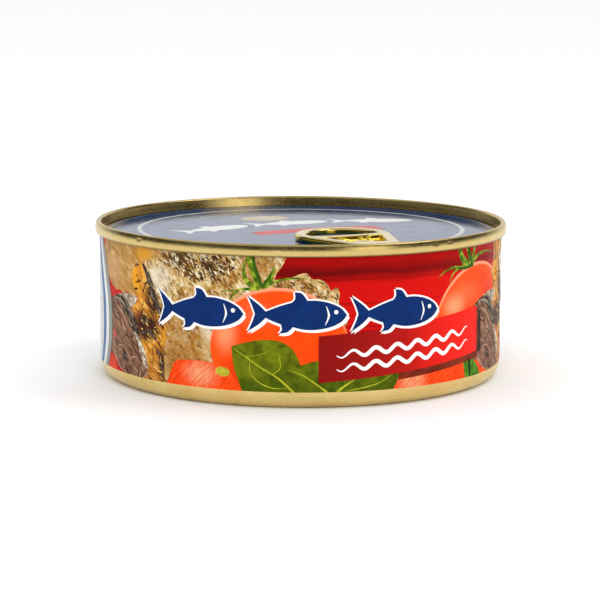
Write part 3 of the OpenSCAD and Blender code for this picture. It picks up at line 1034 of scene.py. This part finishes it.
VEINS = strokes(
    ((0.1, 0.26, 0.36, 0.55), (-15.6, 14), (-12.8, 12.2), (-9.4, 9.9), (-5, 7.3), (-0.8, 3.4)),
    ((0.12, 0.1, 0.04), (-12.8, 12.2), (-9.8, 12.6), (-6.6, 13.9)),
    ((0.18, 0.16, 0.04), (-6.6, 8.2), (-4.6, 9.8), (-5, 13.2)),
    ((0.08, 0.16, 0.22, 0.18, 0.05), (-11.6, 11.3), (-11.6, 8.6), (-9.4, 6.2), (-6, 5), (-2.8, 5.2)),
    ((0.05, 0.22, 0.34, 0.4), (-3.4, 9.6), (0.4, 8.2), (3.6, 6.1), (6.9, 3.6)),
    ((0.9, 0.6, 0.1), (8.2, 3.6), (9.6, 5), (12.6, 6.9)),
    ((0.1, 0.26, 0.2, 0.05), (10.8, 4.4), (14.6, 4.9), (18.6, 5.8), (21.6, 7.4)))
STEMS_1 = strokes(
    ((1.6, 1.5, 1.5, 1.6), (-9.2, 28.3), (-10.2, 30.6), (-11.2, 33), (-11.9, 36.2)),
    ((1.1, 1.2, 0.6, 0.3), (-9.8, 28.4), (-12.4, 29.6), (-13.2, 32.4), (-12.4, 35.2)),
    ((1, 1.5, 0.15), (-9, 28.2), (-7.2, 30.2), (-5.9, 33.2)),
    ((0.9, 0.55, 0.4, 0.1), (-8.4, 28.4), (-5.6, 29.9), (-2, 30.6), (1.6, 30.5)),
    ((1, 0.5, 0.1), (-9.4, 28.1), (-13.4, 27.8), (-18.8, 27)),
    ((0.5, 0.35, 0.05), (-14.4, 27.5), (-16.2, 25.9), (-17, 23.8)))
STEM_DARKS = strokes(
    ((0.5, 0.8, 0.7, 0.6), (-9, 28.8), (-9.8, 31), (-10.6, 33.4), (-11, 36.2)),
    ((0.3, 0.6, 0.1), (-8.6, 28.6), (-7.4, 30.4), (-6.6, 32)),
    ((0.4, 0.8, 0.7), (47.4, 31.2), (46.6, 33.4), (45.4, 36.2)),
    ((0.7, 0.6, 0.1), (48, 31), (44.4, 30.6), (41.6, 31)))
STEMS_2 = strokes(
    ((1.1, 1.9, 1.5, 1.1), (47.6, 31), (44.6, 32), (43, 33.6), (42.3, 36.2)),
    ((1.1, 1.2, 1.2), (47, 31.2), (46.3, 33.6), (44.9, 36.2)),
    ((1.3, 1, 0.9), (47.4, 31.2), (48.2, 33.6), (48.9, 36.2)),
    ((1.1, 0.8, 0.5, 0.1), (47.6, 31.6), (50.4, 33.1), (54.4, 33.6), (59.2, 32.9)),
    ((1.2, 1, 0.6, 0.4, 0.1), (48, 31.2), (44.4, 30.7), (40, 31.1), (37.2, 30.5), (34.9, 29.1)),
    ((0.6, 0.45, 0.1), (42.4, 30.8), (40.2, 29.9), (38.6, 27.6)))


# The banner's left and right ends, and the width over which its edges rise
BANNER_ENDS = (4.2, 49.8)
BANNER_W = 45.6

# The three large fish: their length and height against a plain one, the first one's place, and the
# way from one to the next
SIGN_SIZE = (1.04, 1.5)
SIGN_X = -24.6
SIGN_Y = 22.2
SIGN_GAP = 23.9


def banner_edge(x, top):
    """Height of the banner's upper or lower edge at x: both rise to the right"""
    t = (x - BANNER_ENDS[0]) / BANNER_W
    return (17.2 + 3.7 * t) if top else (6.3 + 3.7 * t - 0.5 * t * (1 - t))


def banner_shape(drop=0, first=BANNER_ENDS[0], last=BANNER_ENDS[1]):
    """Outline of the banner, or of its shade when it's dropped and given other ends"""
    steps = 24
    xs = [first + (last - first) * i / steps for i in range(steps + 1)]
    return ([(x, banner_edge(x, False) - drop) for x in xs]
            + [(x, banner_edge(x, True) - drop) for x in reversed(xs)])


FLECK_SEED = 7


def inside(point, shape):
    """True where a point lies within an outline"""
    x, y = point
    hit = False
    for (x0, y0), (x1, y1) in zip(shape, shape[1:] + shape[:1]):
        if (y0 > y) != (y1 > y) and x < (x1 - x0) * (y - y0) / (y1 - y0) + x0:
            hit = not hit
    return hit


def flecks(rng, shape, count, length, width, turn, spread):
    """Thin lens-shaped strokes scattered inside an outline"""
    xs, ys = [p[0] for p in shape], [p[1] for p in shape]
    made = []
    for _ in range(40 * count):
        if len(made) == count:
            break
        at = (rng.uniform(min(xs), max(xs)), rng.uniform(min(ys), max(ys)))
        size, thick = rng.uniform(*length), rng.uniform(*width)
        lens = [(size / 2 * c, thick / 2 * s) for c, s in
                ((1, 0), (0.5, 0.9), (-0.3, 1), (-1, 0.1), (-0.6, -0.8), (0.3, -1))]
        lens = moved(lens, *at, turn + rng.gauss(0, spread))
        if all(inside(p, shape) for p in lens):
            made.append(lens)
    return made


class FISHTIN_OT_boards(bpy.types.Operator):
    """Add the red boards behind the picture"""
    bl_idname = "fishtin.boards"
    bl_label = "Red boards"

    def execute(self, context):
        wall_ink("red_boards", [BOARDS], 1, ink("board_red", board_red), second=[BOARDS_AGAIN])
        return {"FINISHED"}


class FISHTIN_OT_fish(bpy.types.Operator):
    """Add the printed pieces of fish"""
    bl_idname = "fishtin.fish"
    bl_label = "Fish pieces"

    def execute(self, context):
        rng = random.Random(FLECK_SEED)
        skin = ink("fish_skin", skin_colour)
        dark = ink("dark_skin", dark_skin_colour)
        flesh, crust = ink("fish_flesh", flesh_colour), ink("fish_crust", crust_colour)
        wall_ink("flesh_below", [[(-46, 28), (-35, 28), (-35, 36), (-46, 36)]], 1.2, flesh)
        wall_ink("crust_below", [[(-46, 4), (-40, 4), (-40, 17), (-46, 17)]], 1.3, crust)
        wall_ink("fish_flesh", [FISH_FLESH], 3, flesh, second=[FLESH_AGAIN])
        wall_ink("fish_body", [FISH_BODY, FISH_TAIL], 2, skin)
        wall_ink("fish_crust", [FISH_CRUST], 4, crust)
        wall_ink("brown_chunk", [BROWN_CHUNK], 4, ink("brown_chunk", chunk_colour))
        wall_ink("smoked_top", [SMOKED_TOP], 4, ink("smoked_skin", silver_colour))
        wall_ink("dark_skin", [BROWN_SKIN, *FISH_EDGE, *CHUNK_STROKES], 5, dark)
        wall_ink("silver_skin", SILVER_SKIN, 6, ink("silver_skin", silver_colour))
        wall_ink("chunk_lights", CHUNK_LIGHTS, 6, plain_ink("chunk_lights", (0.36, 0.22, 0.14), 0.3))
        patch = plain_ink("red_patch", (0.66, 0.05, 0.02), 0.2)
        wall_ink("red_patch", [RED_PATCH, RED_CORNER], 5, patch, second=[])
        sets = (
            ("cream_flecks", FISH_TOP, 40, (0.8, 2.2), (0.12, 0.38), -46, 22, (0.8, 0.72, 0.5)),
            ("char_flecks", FISH_TOP, 150, (0.5, 1.8), (0.15, 0.45), -46, 30, (0.05, 0.022, 0.008)),
            ("brown_flecks", FISH_BODY, 90, (0.5, 1.6), (0.1, 0.26), -46, 40, (0.16, 0.07, 0.016)),
            ("tail_flecks", FISH_TAIL, 50, (0.5, 1.8), (0.12, 0.4), -45, 30, (0.06, 0.03, 0.012)),
            ("gold_flecks", FISH_CRUST, 40, (0.6, 2), (0.12, 0.4), -38, 26, (0.8, 0.46, 0.1)),
            ("burnt_flecks", FISH_CRUST, 34, (0.6, 2.6), (0.16, 0.6), -50, 40, (0.06, 0.016, 0.006)),
            ("fold_flecks", BROWN_CHUNK, 40, (1, 3.4), (0.1, 0.3), -35, 30, (0.44, 0.27, 0.18)),
        )
        for name, shape, count, length, width, turn, spread, colour in sets:
            lenses = flecks(rng, shape, count, length, width, turn, spread)
            wall_ink(name, lenses, 5.5, plain_ink(name, colour, 0.3))
        return {"FINISHED"}


class FISHTIN_OT_tomatoes(bpy.types.Operator):
    """Add the printed tomatoes, slices and stems"""
    bl_idname = "fishtin.tomatoes"
    bl_label = "Tomatoes"

    def execute(self, context):
        first = tomato_colour(*TOMATO_1, ((0.8, (-17.6, 17.4), (4.2, 6.6)), (0.2, (-10, 22), (7, 4.6))),
                              (((-15.6, 7.4), (6.4, 6.6)), ((8.6, 13), (5, 9))))
        second = tomato_colour(*TOMATO_2, ((0.95, (40.6, 21.8), (5.8, 4.6)), (0.25, (45, 24.6), (8, 4.6))),
                               (((58, 21), (7, 10)),))
        fruits = (("tomato_left", TOMATO_1, 7, first), ("tomato_right", TOMATO_2, 1.6, second))
        for name, (centre, half), layer, colour_of in fruits:
            wall_ink(name, [oval(centre, *half, 96)], layer, ink(name, colour_of, 0.36))
        stem = ink("stem_green", stem_colour)
        wall_ink("stems_left", STEMS_1, 8, stem)
        wall_ink("stems_right", STEMS_2, 2.2, stem)
        wall_ink("stem_darks", STEM_DARKS, 8.7, plain_ink("stem_dark", (0.03, 0.085, 0.006), 0.4))
        wall_ink("slice_left", [SLICE], 8, ink("slice_left", wedge_colour((-24, 7.4), (6.6, 4.6), 52)))
        wall_ink("slice_right", [WEDGE], 8, ink("slice_right", wedge_colour((27.6, 6), (5.6, 5.4), 40)))
        wall_ink("slice_core", [oval((-18.3, 8.3), 1.8, 1.1, 32, -6)], 9,
                 plain_ink("core_yellow", (0.44, 0.4, 0.03), 0.6))
        return {"FINISHED"}


class FISHTIN_OT_leaves(bpy.types.Operator):
    """Add the printed basil leaves and their veins"""
    bl_idname = "fishtin.leaves"
    bl_label = "Leaves"

    def execute(self, context):
        basil = ink("basil_green", leaf_colour)
        wall_ink("leaf_below", [[(6, 3), (9.6, 3), (13, 7.4), (11.6, 8.6), (7.6, 6.8)]], 8.9, basil)
        wall_ink("leaf_mid", [LEAF_MID], 9, basil)
        wall_ink("leaf_big", [LEAF_BIG], 9.7, basil)
        wall_ink("leaf_low", [LEAF_LOW], 9.7, basil)
        wall_ink("leaf_small", [LEAF_SMALL], 9, ink("fresh_green", fresh_leaf_colour))
        wall_ink("leaf_shade", [LEAF_SHADE], 9.7, plain_ink("leaf_shade", (0.006, 0.028, 0.002), 0.4))
        wall_ink("veins", VEINS, 10.4, plain_ink("vein_green", (0.4, 0.41, 0.02), 0.3))
        return {"FINISHED"}


class FISHTIN_OT_signs(bpy.types.Operator):
    """Add the banner and the plain shoal of fish"""
    bl_idname = "fishtin.signs"
    bl_label = "Banner and fish"

    def execute(self, context):
        navy = plain_ink("navy_ink", chosen_colour("navy"), 0.15)
        white = plain_ink("white_ink", (0.88, 0.87, 0.85), 0.03)
        shade = plain_ink("banner_shade", (0.19, 0.022, 0.008), 0.4)
        dark_strip = [(49, 10), (52, 9.4), (52, 19.4), (49, 20)]
        wall_ink("banner_shade", [banner_shape(1.6, 23.6, 50.6)], 10.6, shade)
        wall_ink("banner_side", [dark_strip], 10, plain_ink("side_shade", (0.03, 0.015, 0.01), 0.4))
        wall_ink("banner", [banner_shape()], 11.2, ink("banner_red", banner_colour))
        waves = []
        for low in (3, 6.2):
            xs = [8.4 + 0.62 * i for i in range(61)]
            points = [(x, banner_edge(x, False) + low + 0.75 * math.sin(1.15 * x)) for x in xs]
            waves.append(stroke(points, (0.2, 0.95, 0.95, 0.95, 0.95, 0.2), 2))
        wall_ink("banner_waves", waves, 12, white)
        places = [(SIGN_X + SIGN_GAP * i, SIGN_Y) for i in range(3)]
        large = [(SIGN_SIZE[0] * x, SIGN_SIZE[1] * y) for x, y in sardine()]
        signs = [moved(large, x, y) for x, y in places]
        marks = [oval((x + 8.9, y + 0.6), 0.5, 0.5, 20) for x, y in places]
        marks += [stroke([(x + 6.6, y + 2), (x + 7.2, y - 0.2), (x + 6.4, y - 2.4)], (0.1, 0.5, 0.1))
                  for x, y in places]
        # The white edge is the same fish shifted a little each way, under the navy one
        shifts = ((0.62, -0.62), (0.5, 0.12), (-0.12, -0.55), (-0.38, 0.02), (0.1, 0.38))
        for k, (dx, dy) in enumerate(shifts):
            wall_ink(f"fish_halos_{k}", [moved(fish, dx, dy) for fish in signs], 11.9 + 0.1 * k, white)
        wall_ink("fish_signs", signs, 12.8, navy)
        wall_ink("fish_marks", marks, 13.6, white)
        return {"FINISHED"}


class FISHTIN_OT_info(bpy.types.Operator):
    """Add the bare information panel with its striped frame"""
    bl_idname = "fishtin.info"
    bl_label = "Information panel"

    def execute(self, context):
        side = [(-7.6, 37), (-4.4, 31.4), (-2, 26.8), (0.4, 20.5), (0.85, 15), (0.3, 10), (-2.2, 4.5),
                (-3.4, 3)]
        bands = (("frame_grey", 0, 14, (0.27, 0.29, 0.27)), ("frame_white", 2.3, 14.7, (0.74, 0.75, 0.74)),
                 ("frame_blue", 4.6, 15.4, (0.085, 0.16, 0.34)),
                 ("info_field", 7.4, 16.1, (0.62, 0.64, 0.64)))
        for name, inset, layer, colour in bands:
            right = [(PANEL_MID + PANEL_HALF + x - inset, y) for x, y in side]
            left = [(PANEL_MID - PANEL_HALF - x + inset, y) for x, y in reversed(side)]
            shape = outline(right, left[:1], left[1:], [])
            wall_ink(name, [shape], layer, plain_ink(name, colour, 0.05), once=True)
        fish = [moved(sardine(), PANEL_MID + x, y) for x, y in ((-13, 23), (13, 23), (0, 16))]
        wall_ink("info_fish", fish, 16.9, plain_ink("info_blue", (0.08, 0.15, 0.33), 0.1), once=True)
        return {"FINISHED"}


class FISHTIN_OT_lid_print(bpy.types.Operator):
    """Add the white ring, the fish, the oval and the ribbon on the lid"""
    bl_idname = "fishtin.lid_print"
    bl_label = "Lid print"

    def execute(self, context):
        turn = math.degrees(context.scene.fishtin_sizes.tab_turn)
        low, high = PANEL_Z - INK_SINK, PANEL_Z + INK_STEP
        inner, outer = 39.7, 40.8
        bm = spun([(inner, low), (outer, low), (outer, high), (inner, high)], 240)
        bm.loops.layers.uv.new("print")
        finished(bm, "lid_ring", plain_ink("lid_white", (0.5, 0.51, 0.5), 0.06, 0.16))
        # The print is turned with the tab; the fish swim along an arch about a far centre
        deep = [(x, 1.5 * y) for x, y in sardine()]
        arch_r, arch_x, arch_y = 75, 1.2, -64.8
        fish = []
        for swing in (-17, 0, 17):
            t = math.radians(swing)
            x, y = arch_x + arch_r * math.sin(t), arch_r * math.cos(t) + arch_y
            fish.append(moved(deep, x, y, -swing))
        emblem = oval(moved([(-0.3, 21.4)], turn=turn)[0], 6.4, 4.6, 48, turn)
        bend = [(x, -(x - 2) ** 2 / 135) for x in range(-15, 20, 2)]
        ribbon = [(x, y - 7.2) for x, y in bend] + [(x, y - 1) for x, y in reversed(bend)]
        prints = (
            ("lid_fish", [moved(points, turn=turn) for points in fish], (0.72, 0.72, 0.7), 0.05),
            ("lid_oval", [emblem], (0.5, 0.4, 0.27), 0.1),
            ("lid_ribbon", [moved(ribbon, turn=turn)], chosen_colour("red"), 0.1),
        )
        for name, shapes, colour, spread in prints:
            lid_ink(name, shapes, plain_ink(name, colour, spread, 0.16))
        return {"FINISHED"}


class FISHTIN_OT_finishes(bpy.types.Operator):
    """Make the metal and lid finishes that the parts share"""
    bl_idname = "fishtin.finishes"
    bl_label = "Finishes"

    def execute(self, context):
        gold_lacquer()
        yellow_lacquer()
        navy_panel()
        return {"FINISHED"}


# ---- Stage ----

# Way to the bright window at the front right that the lid's wall mirrors
WINDOW = (0.6, -0.76, 0.24)
# What shining things mirror: pale walls, a dark band, a greyer ceiling and the window
WALL_TINT = (0.8, 0.8, 0.82)
BAND_TINT = (0.03, 0.03, 0.026)
CEILING_TINT = (0.5, 0.5, 0.47)
WINDOW_TINT = (1.5, 1.45, 1.3)

# The camera: focal length in mm, rise over the table and roll in degrees, way from the tin's middle
# and shift of its aim in metres
LENS = 132
CAMERA_RISE = 8.9
CAMERA_ROLL = 0.28
CAMERA_FAR = 0.5526
AIM_SHIFT = (-0.00013, 0, -0.0015)
FLOOR_SIZE = 12


def studio_world():
    """Bright room for the camera and the soft light; what shines mirrors a dark band above the table"""
    world = bpy.data.worlds.new("studio")
    world.use_nodes = True
    n = Nodes(world.node_tree)
    way = n.node("ShaderNodeTexCoord").outputs["Generated"]
    back, up = n.axis("Y", way), n.axis("Z", way)
    # The band is dark everywhere but behind the tin, where the lid mirrors a paler wall
    band = n.times(n.times(n.span(back, 0.88, 0.55), n.span(up, 0, 0.1)), n.span(up, 0.55, 0.8, 1, 0))
    far = n.node("ShaderNodeVectorMath", {0: way, 1: WINDOW}, operation="DISTANCE").outputs["Value"]
    room = n.mix(band, WALL_TINT, BAND_TINT)
    room = n.mix(n.span(up, 0.6, 0.85), room, CEILING_TINT)
    room = n.mix(n.span(far, 0.3, 0.16), room, WINDOW_TINT)
    glossy = n.node("ShaderNodeLightPath").outputs["Is Glossy Ray"]
    sky = world.node_tree.nodes["Background"]
    n.feed(sky.inputs["Color"], n.mix(glossy, (1, 1, 1), room))
    sky.inputs["Strength"].default_value = 1.05
    return world


def soft_light(name, place, size, watts, mirrored=True):
    """A soft lamp that looks at the tin"""
    lamp = bpy.data.lights.new(name, "AREA")
    lamp.shape = "RECTANGLE"
    lamp.size, lamp.size_y = size
    lamp.energy = watts
    holder = bpy.data.objects.new(name, lamp)
    place = Vector(place)
    look = (Vector((0, 0, 0.02)) - place).to_track_quat("-Z", "Y")
    holder.matrix_world = Matrix.Translation(place) @ look.to_matrix().to_4x4()
    holder.visible_glossy = mirrored
    bpy.context.scene.collection.objects.link(holder)


class FISHTIN_OT_stage(bpy.types.Operator):
    """Add the floor, the soft studio light and the camera"""
    bl_idname = "fishtin.stage"
    bl_label = "Stage"

    def execute(self, context):
        scene = context.scene
        f = Finish("pale_floor")
        pale = f.ramp(f.noise(f.place(), 60, 2), [(0.3, (0.91, 0.91, 0.91)), (0.7, (0.92, 0.92, 0.92))])
        f.set(colour=pale, rough=0.9, specular=0)
        bm = bmesh.new()
        bmesh.ops.create_grid(bm, x_segments=4, y_segments=4, size=FLOOR_SIZE)
        mesh = bpy.data.meshes.new("floor")
        bm.to_mesh(mesh)
        bm.free()
        mesh.materials.append(f.mat)
        floor = bpy.data.objects.new("floor", mesh)
        scene.collection.objects.link(floor)

        scene.world = studio_world()
        soft_light("top_soft", (0.75, 0.05, 1.15), (0.6, 0.6), 2.2)
        soft_light("front_fill", (0.3, -1.6, 0.9), (1.4, 1), 9, mirrored=False)

        lens = bpy.data.cameras.new("camera")
        lens.lens, lens.sensor_width = LENS, 36
        lens.clip_start, lens.clip_end = 0.01, 50
        camera = bpy.data.objects.new("camera", lens)
        scene.collection.objects.link(camera)
        rise = math.radians(CAMERA_RISE)
        middle = Vector((0, 0, CREST_Z * MM / 2))
        eye = middle + Vector((0, -math.cos(rise), math.sin(rise))) * CAMERA_FAR
        aim = middle + Vector(AIM_SHIFT)
        look = (aim - eye).to_track_quat("-Z", "Y").to_matrix().to_4x4()
        roll = Matrix.Rotation(math.radians(CAMERA_ROLL), 4, "Z")
        camera.matrix_world = Matrix.Translation(eye) @ look @ roll
        scene.camera = camera
        scene.view_settings.view_transform = "Standard"
        return {"FINISHED"}


class FISHTIN_PT_tin(bpy.types.Panel):
    """Buttons that build the tin"""
    bl_idname = "FISHTIN_PT_tin"
    bl_label = "Fish tin"
    bl_space_type = "VIEW_3D"
    bl_region_type = "UI"
    bl_category = "Fish tin"

    def draw(self, context):
        for group in (context.scene.fishtin_sizes, context.scene.fishtin_colours):
            for key in group.__annotations__:
                self.layout.prop(group, key)
        for operator in OPERATORS:
            self.layout.operator(operator.bl_idname)


OPERATORS = (
    FISHTIN_OT_finishes, FISHTIN_OT_body, FISHTIN_OT_lid, FISHTIN_OT_tab, FISHTIN_OT_boards,
    FISHTIN_OT_fish, FISHTIN_OT_tomatoes, FISHTIN_OT_leaves, FISHTIN_OT_signs, FISHTIN_OT_info,
    FISHTIN_OT_lid_print, FISHTIN_OT_stage)
CLASSES = (FISHTIN_PG_sizes, FISHTIN_PG_colours, *OPERATORS, FISHTIN_PT_tin)


def register():
    for cls in CLASSES:
        bpy.utils.register_class(cls)
    bpy.types.Scene.fishtin_sizes = PointerProperty(type=FISHTIN_PG_sizes)
    bpy.types.Scene.fishtin_colours = PointerProperty(type=FISHTIN_PG_colours)


def unregister():
    del bpy.types.Scene.fishtin_colours
    del bpy.types.Scene.fishtin_sizes
    for cls in reversed(CLASSES):
        bpy.utils.unregister_class(cls)


def main():
    """Builds the tin"""
    register()
    for operator in OPERATORS:
        group, name = operator.bl_idname.split(".")
        getattr(getattr(bpy.ops, group), name)()
    bpy.context.view_layer.update()


if __name__ == "__main__":
    main()
